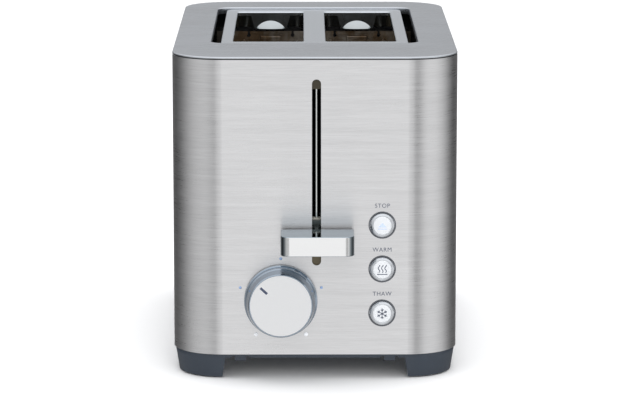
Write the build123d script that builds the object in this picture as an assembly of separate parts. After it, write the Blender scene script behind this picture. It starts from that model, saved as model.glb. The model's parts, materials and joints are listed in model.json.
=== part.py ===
from build123d import *
import math
import os

# A two-slice pop-up toaster with its controls on one short end.
#
# A brushed steel sheet wraps round the body. A pressed top plate, carried on a plastic frame, has one
# large opening, and the slot surround of the inner chassis lies 1 mm below it. The chassis is two end
# plates and two side shields round three wound mica cards, with two sprung wire guards to each slot. The
# bread carriage runs on a rod behind the lever's slot. X is across the toaster, Y runs from the control
# end to the back, and Z is up from the table. Depths called "deep" are measured back from the front face.

# ---------------------------------------------------------------- driving dimensions, mm
BODY_W = 165.0
BODY_D = 272.0
TOTAL_H = 188.0
CORNER_R = 29.0
SHEET = 0.8
SHELL_BOTTOM = 14.5
SHELL_TOP = 186.3
LEVER_REACH = 29.5
REAR_REACH = 4.0

# the whole object's box, lever and tray pull included, is centred on the origin
BODY_Y = (LEVER_REACH - REAR_REACH) / 2
FRONT = BODY_Y - BODY_D / 2
REAR = BODY_Y + BODY_D / 2

# top plate and slot surround
SKIRT_BOTTOM = 187.0
OPENING_X = 61.2
OPENING_DEEP = (62.3, 240.4)
OPENING_R = 9.0
SURROUND_TOP = 187.0
SURROUND_X = 55.5
SURROUND_DEEP = (65.3, 237.4)
SURROUND_R = 6.0
SLOT_X = 27.5
SLOT_W = 41.9
SLOT_DEEP = (76.8, 225.0)
SLOT_R = 2.5
DOME_R = 19.5
DOME_BEHIND = 16.0
DOME_BELOW = 6.1

# chassis
END_PLATE_TOP = 174.0
END_PLATE_BOTTOM = 24.0
END_PLATE_X = 62.0
FRONT_PLATE = 72.2
REAR_PLATE = 229.0
SHIELD_X = 56.4
CARD_X = 52.0
CARD_T = 0.8
CARD_DEEP = (78.0, 224.0)
CARD_Z = (52.0, 166.0)
CARD_TABS_Z = (52.5, 158.0)
CARD_TAB_H = 7.5
TURNS = 13
TURN_PITCH = 7.5
FIRST_TURN_Z = 64.5

# base
BASE_INSET = 1.0
FLOOR_Z = (12.4, 14.4)
UPSTAND_TOP = 30.0
FOOT_X = 51.9
FOOT_DEEP = 31.0
FOOT_BOTTOM = 0.8
FOOT_DRAFT = 9.0
PAD_R = 8.0
SCREW_SPOTS = [(x, deep) for x in (-64.0, 64.0) for deep in (66.0, 236.0)]
SCREW_R = 1.5

# carriage and lever
TRAVEL = 80.0
LEVER_W = 41.9
LEVER_MID = 1.2
LEVER_Z = (77.8, 89.1)
LEVER_GAP = 5.0
LEVER_R = 5.2
LEVER_EDGE_R = 0.5
LEVER_X = 0.8
ARM_T = 2.0
ARM_Z = (79.6, 87.6)
LEVER_SLOT_W = 5.2
LEVER_SLOT_Z = (67.0, 175.1)
ROD_R = 3.0
ROD_DEEP = 13.0
ROD_Z = (18.0, 178.0)
BUSH_Z = (70.0, 93.5)
YOKE_Z = (71.0, 92.4)
YOKE_X = 8.8
YOKE_DEEP = (5.2, 64.0)
RACK_Z = (40.0, 52.0)
RACK_T = 1.2
RACK_WINGS = 12

# bread guards
GUARD_PIVOT_Z = 38.0
GUARD_TOP_Z = 168.5
GUARD_PIVOT_X = 17.5
GUARD_TOP_X = 17.0
RAIL_R = 0.9
WIRE_R = 0.8
GUARD_WIRES = 9

# browning knob
KNOB_X = -19.8
KNOB_Z = 46.4
KNOB_R = 21.1
KNOB_FACE_R = 17.6
KNOB_REACH = 16.0
POINTER_DEG = 137.6
POINTER_L = 5.2
POINTER_W = 1.4
SHAFT_R = 3.0

# push buttons
BUTTON_X = 38.6
BUTTON_Z = {"cancel": 90.6, "reheat": 64.9, "defrost": 39.0}
BEZEL_R = 7.85
CAP_R = 7.0
LENS_R = 5.3
STEM_R = 2.0
BOARD_DEEP = (21.5, 23.1)
BOARD_SCREWS = [(-33.0, 29.0), (-33.0, 68.0), (51.0, 29.0), (51.0, 101.0)]

# crumb tray, cord gland and wiring
TRAY_X = 56.0
TRAY_DEEP = (78.0, 268.0)
TRAY_Z = (15.0, 21.0)
TRAY_MOUTH_TOP = 24.0
GLAND_X = 40.0
GLAND_Z = 40.0
GLAND_NECK = 6.0
GLAND_FLANGE = 8.0
GLAND_BORE_R = 3.75
TERMINAL_Z = (66.0, 78.0)
TERMINAL_POLES = (36.0, 44.0)
TERMINAL_BACK = 242.0
LEAD_R = 1.3


# ---------------------------------------------------------------- small helpers
def block(x0, x1, y0, y1, z0, z1):
    """A box between two corners."""
    return Pos((x0 + x1) / 2, (y0 + y1) / 2, (z0 + z1) / 2) * Box(x1 - x0, y1 - y0, z1 - z0)


def deep_block(x0, x1, deep0, deep1, z0, z1):
    """A box whose front and back are given as depths behind the front face."""
    return block(x0, x1, FRONT + deep0, FRONT + deep1, z0, z1)


def rod_y(x, z, radius, deep0, deep1):
    """A round bar along Y between two depths."""
    return Pos(x, FRONT + (deep0 + deep1) / 2, z) * Rot(90, 0, 0) * Cylinder(radius, deep1 - deep0)


def rod_z(x, deep, radius, z0, z1):
    """A round bar along Z."""
    return Pos(x, FRONT + deep, (z0 + z1) / 2) * Cylinder(radius, z1 - z0)


def bar(start, end, radius):
    """A round bar between two points."""
    axis = Vector(*end) - Vector(*start)
    middle = (Vector(*start) + Vector(*end)) * 0.5
    return Plane(origin=middle, z_dir=axis) * Cylinder(radius, axis.length)


def slab(plan, z0, z1):
    """A plan drawn on the XY plane, made solid between two heights."""
    return extrude(Pos(0, 0, z0) * plan, z1 - z0)


def body_plan(inset):
    """The body's outline seen from above, drawn in by an inset."""
    return Pos(0, BODY_Y) * RectangleRounded(BODY_W - 2 * inset, BODY_D - 2 * inset, CORNER_R - inset)


def rounded_plan(x0, x1, deep0, deep1, radius):
    """A rounded rectangle seen from above."""
    middle = Pos((x0 + x1) / 2, FRONT + (deep0 + deep1) / 2)
    return middle * RectangleRounded(x1 - x0, deep1 - deep0, radius)


def wall(outer, inner, z0, z1):
    """The ring between two plans."""
    return slab(outer, z0, z1) - slab(inner, z0, z1)


def level_edges(shape, z):
    """The edges that lie at one height."""
    return shape.edges().filter_by_position(Axis.Z, z - 0.01, z + 0.01)


def turned(points, x, z):
    """A solid of revolution about a line along Y, from (radius, depth) points."""
    plane = Plane(origin=(x, FRONT, z), x_dir=(1, 0, 0), z_dir=(0, 0, 1))
    profile = make_face(Polyline(*[(radius, deep) for radius, deep in points], close=True))
    return revolve(plane * profile, Axis((x, FRONT, z), (0, 1, 0)))


def each(xs, make):
    """The solids that one maker gives for several places, as one group."""
    return Compound(children=[make(x) for x in xs])


def slot_plan(side, grow):
    """One bread slot seen from above, made larger by grow."""
    half = SLOT_W / 2 + grow
    centre = side * SLOT_X
    return rounded_plan(centre - half, centre + half, SLOT_DEEP[0] - grow, SLOT_DEEP[1] + grow, SLOT_R + grow)


# ---------------------------------------------------------------- outer covers
def body_shell():
    """The wrapped sheet, with the lever slot, control holes, tray mouth and cord hole."""
    shell = wall(body_plan(0), body_plan(SHEET), SHELL_BOTTOM, SHELL_TOP)
    half = LEVER_SLOT_W / 2
    low, high = LEVER_SLOT_Z
    cut = deep_block(LEVER_X - half, LEVER_X + half, -2, 4, low + half, high - half)
    cut += rod_y(LEVER_X, low + half, half, -2, 4) + rod_y(LEVER_X, high - half, half, -2, 4)
    cut += rod_y(KNOB_X, KNOB_Z, 5.2, -2, 4)
    for z in BUTTON_Z.values():
        cut += rod_y(BUTTON_X, z, BEZEL_R + 0.1, -2, 4)
    mouth = TRAY_X + 2.0
    cut += deep_block(-mouth, mouth, BODY_D - 4, BODY_D + 2, SHELL_BOTTOM - 1, TRAY_MOUTH_TOP)
    # the cord gland slides up a notch that is open at the tray's mouth
    neck = GLAND_NECK + 0.2
    cut += rod_y(GLAND_X, GLAND_Z, neck, BODY_D - 4, BODY_D + 2)
    cut += deep_block(GLAND_X - neck, GLAND_X + neck, BODY_D - 4, BODY_D + 2, TRAY_MOUTH_TOP - 1, GLAND_Z)
    seam = deep_block(-30.2, -29.8, BODY_D - 0.3, BODY_D + 1, SHELL_BOTTOM - 1, SHELL_TOP + 1)
    return shell - cut - seam


def top_plate():
    """The pressed cover: a flat face, a short outer skirt and a turned-down rim round the opening."""
    opening = rounded_plan(-OPENING_X, OPENING_X, *OPENING_DEEP, OPENING_R)
    rim_x = OPENING_X + SHEET
    near, far = OPENING_DEEP
    rim = rounded_plan(-rim_x, rim_x, near - SHEET, far + SHEET, OPENING_R + SHEET)
    face = slab(body_plan(0), TOTAL_H - SHEET, TOTAL_H)
    skirt = wall(body_plan(0), body_plan(SHEET), SKIRT_BOTTOM, TOTAL_H)
    plate = face + skirt + slab(rim, TOTAL_H - 4.0, TOTAL_H) - slab(opening, TOTAL_H - 5, TOTAL_H + 1)
    return fillet(level_edges(plate, TOTAL_H), 0.75)


def top_frame():
    """The plastic frame that plugs into the shell's top and carries the top plate."""
    clear = 1.2
    inner = rounded_plan(
        -OPENING_X - SHEET - clear,
        OPENING_X + SHEET + clear,
        OPENING_DEEP[0] - SHEET - clear,
        OPENING_DEEP[1] + SHEET + clear,
        OPENING_R + SHEET + clear,
    )
    top = TOTAL_H - SHEET - 0.1
    frame = wall(body_plan(1.0), body_plan(3.0), 172.0, top) + wall(body_plan(1.0), inner, top - 2.0, top)
    # the lever's slot runs up behind the frame's front wall
    return frame - deep_block(LEVER_X - 6, LEVER_X + 6, 0, 4, 171, LEVER_SLOT_Z[1] + 3.5)


def tongue(side, deep, lean):
    """A tab bent down from a slot's end, with a shallow dome pressed in its foot towards the slot."""
    centre = side * SLOT_X
    low, high = END_PLATE_TOP + 2.2, SURROUND_TOP - 0.9
    outline = Polyline(
        (centre - 12.8, high), (centre + 12.8, high), (centre + 10.2, low), (centre - 10.2, low), close=True
    )
    prism = extrude(Plane.XZ * make_face(outline), 400, both=True)
    back = deep + lean * SHEET
    middle = Pos(centre, FRONT + deep + lean * DOME_BEHIND, low - DOME_BELOW)
    flat = deep_block(centre - 20, centre + 20, min(deep, back), max(deep, back), low, high)
    nose = deep - lean * 5.0
    near = deep_block(centre - 20, centre + 20, min(nose, back), max(nose, back), low, high)
    dome = middle * Sphere(DOME_R) & near
    return prism & (flat + dome - middle * Sphere(DOME_R - SHEET))


def slot_surround():
    """The chassis top: two slots with rolled edges, a skirt, and a curved tab at each slot's end."""
    outer = rounded_plan(-SURROUND_X, SURROUND_X, *SURROUND_DEEP, SURROUND_R)
    inner = rounded_plan(
        -SURROUND_X + SHEET,
        SURROUND_X - SHEET,
        SURROUND_DEEP[0] + SHEET,
        SURROUND_DEEP[1] - SHEET,
        SURROUND_R - SHEET,
    )
    plate = slab(outer, SURROUND_TOP - SHEET, SURROUND_TOP) + wall(outer, inner, 176.0, SURROUND_TOP)
    for side in (-1, 1):
        plate += slab(slot_plan(side, SHEET), SURROUND_TOP - 2.6, SURROUND_TOP)
    for side in (-1, 1):
        plate -= slab(slot_plan(side, 0), SURROUND_TOP - 4, SURROUND_TOP + 1)
    plate = fillet(level_edges(plate, SURROUND_TOP), 0.75)
    for side in (-1, 1):
        plate += tongue(side, SLOT_DEEP[1], 1) + tongue(side, SLOT_DEEP[0], -1)
    return plate


# ---------------------------------------------------------------- base
def foot(x_sign, y_sign):
    """One corner foot: it follows the body's corner and narrows towards the table."""
    corner_y = FRONT if y_sign < 0 else REAR
    x_mid = x_sign * (FOOT_X + BODY_W / 2 + 10) / 2
    y_mid = corner_y - y_sign * (FOOT_DEEP - 10) / 2
    area = Pos(x_mid, y_mid) * Rectangle(BODY_W / 2 + 10 - FOOT_X, FOOT_DEEP + 10)
    plan = body_plan(BASE_INSET) & area
    top = FLOOR_Z[0] + 0.5
    return extrude(Pos(0, 0, top) * plan, -(top - FOOT_BOTTOM), taper=FOOT_DRAFT)


def foot_centre(x_sign, y_sign):
    """Where a foot's pad sits."""
    y = FRONT + 18.0 if y_sign < 0 else REAR - 18.0
    return x_sign * 65.5, y


def corners():
    return [(sx, sy) for sx in (-1, 1) for sy in (-1, 1)]


def screw_bosses():
    """The posts that the base screws pass up through."""
    return [rod_z(x, deep, 4.5, FLOOR_Z[1] - 0.5, UPSTAND_TOP) for x, deep in SCREW_SPOTS]


def base():
    """The dark moulding under the body: floor, feet, upstand, tray rails, bosses and vents."""
    low, floor_top = FLOOR_Z
    body = slab(body_plan(BASE_INSET), low, floor_top)
    body += wall(body_plan(BASE_INSET + 0.1), body_plan(BASE_INSET + 2.1), floor_top, UPSTAND_TOP)
    for sx, sy in corners():
        body += foot(sx, sy)
    for post in screw_bosses():
        body += post
    rail = TRAY_X + 0.4
    for sx in (-1, 1):
        x0, x1 = sorted((sx * rail, sx * (rail + 1.2)))
        body += deep_block(x0, x1, 76, BODY_D - 4, floor_top, 22.5)
        # a lug on the front rim, with a pocket each side of it
        lug0, lug1 = sorted((sx * 40.0, sx * 46.4))
        body += deep_block(lug0, lug1, 1.6, 8, low - 1.7, low)
        for pocket in (lug0 - 2.0, lug1):
            body -= deep_block(pocket, pocket + 2.0, 1.0, 7, low - 1, low + 0.9)
    body += rod_z(LEVER_X, ROD_DEEP, 6.5, floor_top, 26)
    body += deep_block(-13, 13, 55, 67, floor_top, 19.8)
    for row in range(5):
        for x in (-38.0, -18.0, 20.0, 40.0):
            deep = 12.0 + 6.0 * row
            body -= deep_block(x - 8, x + 8, deep, deep + 2.4, low - 1, floor_top + 1)
    for row in range(14):
        for x in (-30.0, 0.0, 30.0):
            deep = 96.0 + 9.0 * row
            body -= deep_block(x - 11, x + 11, deep, deep + 3.0, low - 1, floor_top + 0.5)
    for x, deep in SCREW_SPOTS:
        body -= rod_z(x, deep, SCREW_R + 0.2, low - 1, UPSTAND_TOP + 1)
        body -= rod_z(x, deep, 3.8, low - 1, low + 1.9)
    for sx, sy in corners():
        x, y = foot_centre(sx, sy)
        body -= Pos(x, y, 1.2) * Cylinder(PAD_R + 0.1, 2.0)
    body -= rod_z(LEVER_X, ROD_DEEP, ROD_R + 0.05, ROD_Z[0] - 0.2, 30)
    mouth = TRAY_X + 2.0
    body -= deep_block(-mouth, mouth, BODY_D - 5, BODY_D + 2, floor_top, TRAY_MOUTH_TOP)
    return body


def foot_pads():
    """Four rubber pads let into the feet."""
    pads = []
    for sx, sy in corners():
        x, y = foot_centre(sx, sy)
        pad = Pos(x, y, 1.0) * Cylinder(PAD_R, 2.0)
        pads.append(fillet(level_edges(pad, 0.0), 0.4))
    return Compound(children=pads)


def base_screws():
    """Four pan-head screws that clamp the base to the end plates' feet."""
    screws = []
    for x, deep in SCREW_SPOTS:
        low = FLOOR_Z[0]
        head = rod_z(x, deep, 3.5, low + 0.2, low + 1.8)
        slot = deep_block(x - 3, x + 3, deep - 0.35, deep + 0.35, low, low + 0.9)
        cross = deep_block(x - 0.35, x + 0.35, deep - 3, deep + 3, low, low + 0.9)
        screws.append(head + rod_z(x, deep, SCREW_R, low + 1.8, UPSTAND_TOP + 4) - slot - cross)
    return Compound(children=screws)


# ---------------------------------------------------------------- chassis
def end_plate(deep, outward):
    """A chassis end with its rack slots, pivot holes, card slots and notches. outward is -1 at the front."""
    near, far = deep, deep + SHEET
    plate = deep_block(-END_PLATE_X, END_PLATE_X, near, far, END_PLATE_BOTTOM, END_PLATE_TOP)
    for sx in (-1, 1):
        leg0, leg1 = sorted((sx * (TRAY_X + 2.2), sx * END_PLATE_X))
        plate += deep_block(leg0, leg1, near, far, UPSTAND_TOP + 0.1 - 6, END_PLATE_BOTTOM + 1)
        foot0, foot1 = sorted((sx * 58.5, sx * 69.5))
        flange0, flange1 = (deep - 12.5, far) if outward < 0 else (near, far + 12.5)
        ledge = deep_block(foot0, foot1, flange0, flange1, UPSTAND_TOP + 0.1, UPSTAND_TOP + 1.1)
        plate += ledge
    for side in (-1, 1):
        centre = side * SLOT_X
        slot_low, slot_high = RACK_Z[0] - 2, RACK_Z[1] + TRAVEL + 3
        plate -= deep_block(centre - 1.5, centre + 1.5, near - 1, far + 1, slot_low, slot_high)
        for hand in (-1, 1):
            plate -= rod_y(centre + hand * GUARD_PIVOT_X, GUARD_PIVOT_Z, RAIL_R + 0.06, near - 1, far + 1)
            notch, notch_z = centre + hand * 14.0, END_PLATE_TOP - 2.6
            plate -= deep_block(notch - 0.7, notch + 0.7, near - 1, far + 1, notch_z, END_PLATE_TOP + 1)
            plate -= rod_y(notch, notch_z, 1.2, near - 1, far + 1)
        raised0, raised1 = (far, far + 1.0) if outward < 0 else (near - 1.0, near)
        pad = deep_block(centre - 6.8, centre + 6.8, raised0, raised1, 156.0, 171.2)
        facing = pad.faces().sort_by(Axis.Y)[-1 if outward < 0 else 0]
        pad = fillet(facing.edges(), 0.8)
        plate += pad
    for x in (-CARD_X, 0.0, CARD_X):
        for z in CARD_TABS_Z:
            plate -= deep_block(x - 0.7, x + 0.7, near - 1, far + 1, z - 0.3, z + CARD_TAB_H + 0.3)
    for x, spot in SCREW_SPOTS:
        plate -= rod_z(x, spot, SCREW_R + 0.1, UPSTAND_TOP - 1, UPSTAND_TOP + 3)
    return plate


def front_end_plate():
    """The front chassis end, with the ear that steadies the guide rod and the spring's anchor."""
    plate = end_plate(FRONT_PLATE, -1)
    top = END_PLATE_TOP
    ear = deep_block(LEVER_X - 8, LEVER_X + 8, ROD_DEEP - 6, FRONT_PLATE + SHEET, top, top + 1.2)
    hole = rod_z(LEVER_X, ROD_DEEP, ROD_R + 0.05, END_PLATE_TOP - 1, END_PLATE_TOP + 3)
    anchor = deep_block(16, 24, 62.0, FRONT_PLATE, 161.0, 162.0)
    return plate + ear - hole + anchor - rod_z(20, 66, 1.0, 160, 163)


def rear_end_plate():
    return end_plate(REAR_PLATE, 1)


def side_shield(side):
    """A plain side of the chassis, with a rolled bead for stiffness and a row of cooling slots."""
    x0, x1 = sorted((side * SHIELD_X, side * (SHIELD_X + SHEET)))
    deep0, deep1 = FRONT_PLATE + SHEET + 0.1, REAR_PLATE - 0.1
    shield = deep_block(x0, x1, deep0, deep1, 26.0, 175.0)
    for step in range(9):
        deep = 88.0 + 15.0 * step
        shield -= deep_block(x0 - 1, x1 + 1, deep, deep + 8.0, 32.0, 35.0)
    bead0, bead1 = sorted((side * (SHIELD_X + SHEET), side * (SHIELD_X + SHEET + 0.8)))
    for z in (70.0, 140.0):
        shield += deep_block(bead0, bead1, deep0 + 8, deep1 - 8, z, z + 3.0)
    return shield


def heater_card(x):
    """A mica card, held by four tabs in the end plates."""
    half = CARD_T / 2
    card = deep_block(x - half, x + half, *CARD_DEEP, *CARD_Z)
    for z in CARD_TABS_Z:
        card += deep_block(x - half, x + half, FRONT_PLATE - 1.5, REAR_PLATE + SHEET + 1.5, z, z + CARD_TAB_H)
    return card


def heater_winding(x):
    """The flat resistance ribbon's turns round a card."""
    inner, outer = CARD_T / 2 + 0.05, CARD_T / 2 + 0.4
    turns = []
    for turn in range(TURNS):
        z = FIRST_TURN_Z + TURN_PITCH * turn
        loop = deep_block(x - outer, x + outer, CARD_DEEP[0] - 0.4, CARD_DEEP[1] + 0.4, z, z + 1.6)
        loop -= deep_block(x - inner, x + inner, CARD_DEEP[0] - 0.05, CARD_DEEP[1] + 0.05, z - 1, z + 3)
        turns.append(loop)
    return Compound(children=turns)


def guard(side, hand):
    """A wire bread guard: a pivot rail, two more rails and upright wires, leaning in at the top."""
    centre = side * SLOT_X
    low_x = centre + hand * GUARD_PIVOT_X
    high_x = centre + hand * GUARD_TOP_X
    rails = rod_y(low_x, GUARD_PIVOT_Z, RAIL_R, FRONT_PLATE - 1.2, REAR_PLATE + SHEET + 1.2)
    rails += rod_y(high_x, GUARD_TOP_Z, RAIL_R, FRONT_PLATE + 5, REAR_PLATE - 4)
    middle_x = (low_x + high_x) / 2
    rails += rod_y(middle_x, (GUARD_PIVOT_Z + GUARD_TOP_Z) / 2, WIRE_R, FRONT_PLATE + 6, REAR_PLATE - 5)
    first, last = FRONT_PLATE + 8, REAR_PLATE - 7
    for wire in range(GUARD_WIRES):
        y = FRONT + first + (last - first) * wire / (GUARD_WIRES - 1)
        rails += bar((low_x, y, GUARD_PIVOT_Z), (high_x, y, GUARD_TOP_Z), WIRE_R)
    return rails


# ---------------------------------------------------------------- carriage and lever
def guide_rod():
    rod = rod_z(LEVER_X, ROD_DEEP, ROD_R, *ROD_Z)
    return fillet(level_edges(rod, ROD_Z[1]), 1.5)


def slider_bush():
    """The nylon bush that runs on the rod, held between the yoke's ears."""
    low, high = YOKE_Z
    bush = rod_z(LEVER_X, ROD_DEEP, 6.4, low + 1.3, high - 1.3) + rod_z(LEVER_X, ROD_DEEP, 4.8, *BUSH_Z)
    return bush - rod_z(LEVER_X, ROD_DEEP, ROD_R + 0.06, BUSH_Z[0] - 1, BUSH_Z[1] + 1)


def carriage_bracket():
    """The folded steel carriage: a cross plate for the racks and a long loop that holds the bush."""
    front, back = YOKE_DEEP
    low, high = YOKE_Z
    plate = deep_block(-34, 34, back - 1.2, back, 38.0, 60.0)
    x0, x1 = LEVER_X - YOKE_X, LEVER_X + YOKE_X
    plate += deep_block(x0, x1, back - 1.2, back, 38.0, high)
    yoke = deep_block(x0, x1, front, back, low, high)
    yoke -= deep_block(x0 - 1, x1 + 1, front + 1.2, back - 1.2, low + 1.2, high - 1.2)
    yoke -= rod_z(LEVER_X, ROD_DEEP, 4.9, low - 1, high + 1)
    hook = deep_block(16, 24, back - 8, back, 57.0, 58.0) - rod_z(20, back - 4.5, 1.0, 56, 59)
    return plate + yoke + hook


def bread_rack(side):
    """A long strip through both end plates, with cross wings that carry the bread."""
    centre = side * SLOT_X
    half = RACK_T / 2
    rack = deep_block(centre - half, centre + half, YOKE_DEEP[1] + 0.02, REAR_PLATE + 6, *RACK_Z)
    first, last = SLOT_DEEP[0] + 6, SLOT_DEEP[1] - 6
    for wing in range(RACK_WINGS):
        deep = first + (last - first) * wing / (RACK_WINGS - 1)
        rack += deep_block(centre - 10.5, centre + 10.5, deep - 0.5, deep + 0.5, 46.0, 54.0)
        rack -= deep_block(centre - 5.0, centre + 5.0, deep - 1, deep + 1, RACK_Z[1], 55.0)
    return rack


def lever_arm():
    """The steel strip from the yoke out through the slot into the lever."""
    half = ARM_T / 2
    return deep_block(LEVER_X - half, LEVER_X + half, -LEVER_REACH + 6, YOKE_DEEP[0] - 0.02, *ARM_Z)


def lever_outline(inset):
    """The lever seen from above: square at the back, rounded at the front corners."""
    x = LEVER_W / 2 - inset
    back, front = -LEVER_GAP - 1e-3, -LEVER_REACH + inset
    radius = LEVER_R - inset
    points = (-x, FRONT + back), (-x, FRONT + front + radius)
    lines = Line(*points) + Line((x, FRONT + back), (-x, FRONT + back))
    lines += Line((x, FRONT + front + radius), (x, FRONT + back))
    lines += Line((-x + radius, FRONT + front), (x - radius, FRONT + front))
    lines += RadiusArc((-x, FRONT + front + radius), (-x + radius, FRONT + front), -radius)
    lines += RadiusArc((x - radius, FRONT + front), (x, FRONT + front + radius), -radius)
    return Pos(LEVER_MID, 0, 0) * make_face(lines)


def lever_cap():
    """The drawn steel cover of the lever, open at the back."""
    low, high = LEVER_Z
    cap = slab(lever_outline(0), low, high)
    cap = fillet(level_edges(cap, low) + level_edges(cap, high), LEVER_EDGE_R)
    return cap - slab(lever_outline(1.2), low + 1.2, high - 1.2)


def lever_core():
    """The plastic block inside the lever, with the socket for the arm."""
    low, high = LEVER_Z
    core = slab(lever_outline(1.25), low + 1.25, high - 1.25)
    half = ARM_T / 2 + 0.02
    arm_low, arm_high = ARM_Z[0] - 0.02, ARM_Z[1] + 0.02
    socket = deep_block(LEVER_X - half, LEVER_X + half, -LEVER_REACH + 5.9, 5, arm_low, arm_high)
    return core - socket


def lever_bumpers():
    """Two soft stops behind the ends of the lever's slot."""
    low, high = LEVER_SLOT_Z
    x0, x1 = LEVER_X - 4.5, LEVER_X + 4.5
    lower = deep_block(x0, x1, 1.0, 4.4, low - 4, low + 5.2)
    upper = deep_block(x0, x1, 1.0, 4.4, high - 5.6, high + 3)
    return Compound(children=[fillet(stop.edges().filter_by(Axis.Y), 1.2) for stop in (lower, upper)])


def armature_plate():
    """The keeper that the magnet holds, on the carriage's lower edge."""
    return deep_block(-11, 11, 54.0, YOKE_DEEP[1] - 1.22, 38.0, 39.6)


def magnet_core():
    """A laminated E-shaped core, its three faces just under the keeper."""
    core = deep_block(-12, 12, 56, 66, 19.9, 37.95)
    for x0, x1 in ((-8.5, -3.5), (3.5, 8.5)):
        core -= deep_block(x0, x1, 55, 67, 24.0, 39)
    return core


def magnet_coil():
    """The winding on the core's middle leg."""
    coil = deep_block(-8.2, 8.2, 51.5, 70.5, 25.0, 36.0)
    coil = fillet(coil.edges().filter_by(Axis.Z), 3.0)
    return coil - deep_block(-3.6, 3.6, 55.9, 66.1, 24, 37)


def return_spring():
    """The extension spring that lifts the carriage, hooked on the front end plate's anchor."""
    radius, wire, turns = 3.2, 0.45, 16
    low, high = 62.0, 158.0
    helix = Helix(pitch=(high - low) / turns, height=high - low, radius=radius)
    coil = sweep(Plane(origin=helix @ 0, z_dir=helix % 0) * Circle(wire), path=helix, is_frenet=True)
    return Pos(20, FRONT + 60.0, low) * coil


def switch_block():
    """The moulded block of the mains switch that the carriage closes."""
    return deep_block(-31, -17, 50, 60, 14.6, 30.0)


def contact_leaves():
    """Two springy copper contacts standing on the switch block."""
    return each((-28.0, -21.0), lambda x: deep_block(x - 2, x + 2, 54.0, 54.4, 30.02, 36.5))


# ---------------------------------------------------------------- browning control
def knob_body():
    """The chromed ring of the knob: a skirt, a groove, a tapering side and a lip round the face."""
    points = [
        (SHAFT_R + 0.05, -12.0),
        (SHAFT_R + 0.05, -1.2),
        (6.0, -1.2),
        (6.0, -11.5),
        (KNOB_R - 2.0, -11.5),
        (KNOB_R - 1.6, -0.8),
        (KNOB_R, -0.8),
        (KNOB_R, -3.0),
        (KNOB_R - 0.7, -3.5),
        (KNOB_R - 1.0, -7.4),
        (KNOB_R - 1.6, -7.9),
        (KNOB_R - 1.6, -8.7),
        (KNOB_R - 1.3, -9.2),
        (KNOB_FACE_R + 0.9, -KNOB_REACH + 0.5),
        (KNOB_FACE_R + 0.5, -KNOB_REACH),
        (KNOB_FACE_R + 0.1, -KNOB_REACH),
        (KNOB_FACE_R + 0.1, -KNOB_REACH + 1.0),
        (0.0, -KNOB_REACH + 1.0),
        (0.0, -12.0),
    ]
    return turned(points, KNOB_X, KNOB_Z)


def pointer_block(grow):
    """The pointer's place on the knob's face, made larger by grow."""
    mark = Box(POINTER_L + 2 * grow, 0.5, POINTER_W + 2 * grow)
    turn = Pos(KNOB_X, FRONT - KNOB_REACH + 0.4, KNOB_Z) * Rot(0, -POINTER_DEG, 0)
    return turn * Pos(KNOB_FACE_R - 4.5, 0, 0) * mark


def knob_face():
    """The spun disc let into the knob's front, with a slot for the pointer."""
    disc = rod_y(KNOB_X, KNOB_Z, KNOB_FACE_R, -KNOB_REACH + 0.15, -KNOB_REACH + 0.95)
    return disc - pointer_block(0.02)


def knob_pointer():
    return pointer_block(0.0)


def pot_shaft():
    """The control's turning shaft, gripped by the knob."""
    return rod_y(KNOB_X, KNOB_Z, SHAFT_R, -11.95, 20.0)


def potentiometer():
    """The browning control's body and threaded neck on the board."""
    body = deep_block(KNOB_X - 8.5, KNOB_X + 8.5, 12.0, 21.45, KNOB_Z - 8.5, KNOB_Z + 8.5)
    body += rod_y(KNOB_X, KNOB_Z, 4.6, 1.0, 12.0)
    return body - rod_y(KNOB_X, KNOB_Z, SHAFT_R + 0.06, 0.5, 20.5)


# ---------------------------------------------------------------- buttons and board
def button_bezels():
    """Three dark sleeves that line the button holes."""
    bore = CAP_R + 0.3
    points = [(bore, -0.3), (BEZEL_R, -0.3), (BEZEL_R, 1.0), (8.8, 1.0), (8.8, 2.0), (bore, 2.0)]
    return each(BUTTON_Z.values(), lambda z: turned(points, BUTTON_X, z))


def button_cap(name):
    """A metallised cap with a rounded edge, a seat for its lens and a stem to the switch."""
    bend = 1.5
    angles = [math.radians(15 * step) for step in range(7)]
    edge = [(CAP_R - bend + bend * math.sin(a), -0.7 - bend * math.cos(a)) for a in angles]
    points = [(0.0, -1.0), (LENS_R + 0.05, -1.0), (LENS_R + 0.05, -2.2), *edge]
    points += [(CAP_R, 2.4), (8.6, 2.4), (8.6, 3.6), (STEM_R, 3.6), (STEM_R, 18.6), (0.0, 18.6)]
    return turned(points, BUTTON_X, BUTTON_Z[name])


def button_lens(name):
    """The pale disc in a cap, very slightly domed."""
    points = [(0.0, -1.02), (LENS_R, -1.02), (LENS_R, -2.1), (LENS_R - 0.3, -2.3), (2.6, -2.42), (0.0, -2.45)]
    return turned(points, BUTTON_X, BUTTON_Z[name])


def control_board():
    """An L-shaped circuit board, cut away where the lever's arm passes."""
    board = deep_block(-36, 54, *BOARD_DEEP, 26, 72) + deep_block(18, 54, *BOARD_DEEP, 72, 104)
    for x, z in BOARD_SCREWS:
        board -= rod_y(x, z, 1.6, 20, 25)
    return board - deep_block(-10, 12, 20, 25, 69, 73)


def tact_switches():
    """Three press switches on the board, each with a well for its button's stem."""

    def switch(z):
        body = deep_block(BUTTON_X - 4, BUTTON_X + 4, 17.0, 21.45, z - 4, z + 4)
        return body - rod_y(BUTTON_X, z, STEM_R + 0.35, 16, 20.8)

    return each(BUTTON_Z.values(), switch)


def board_components():
    """A relay, a dropper block and two capacitors on the board's back."""
    parts = [
        deep_block(-33, -17, 23.15, 36, 32, 50),
        deep_block(22, 46, 23.15, 34, 44, 60),
        rod_y(14, 38, 5.0, 23.15, 34.0),
        rod_y(30, 90, 4.0, 23.15, 33.0),
        deep_block(-8, 8, 23.15, 25.2, 50, 60),
    ]
    return Compound(children=parts)


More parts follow.
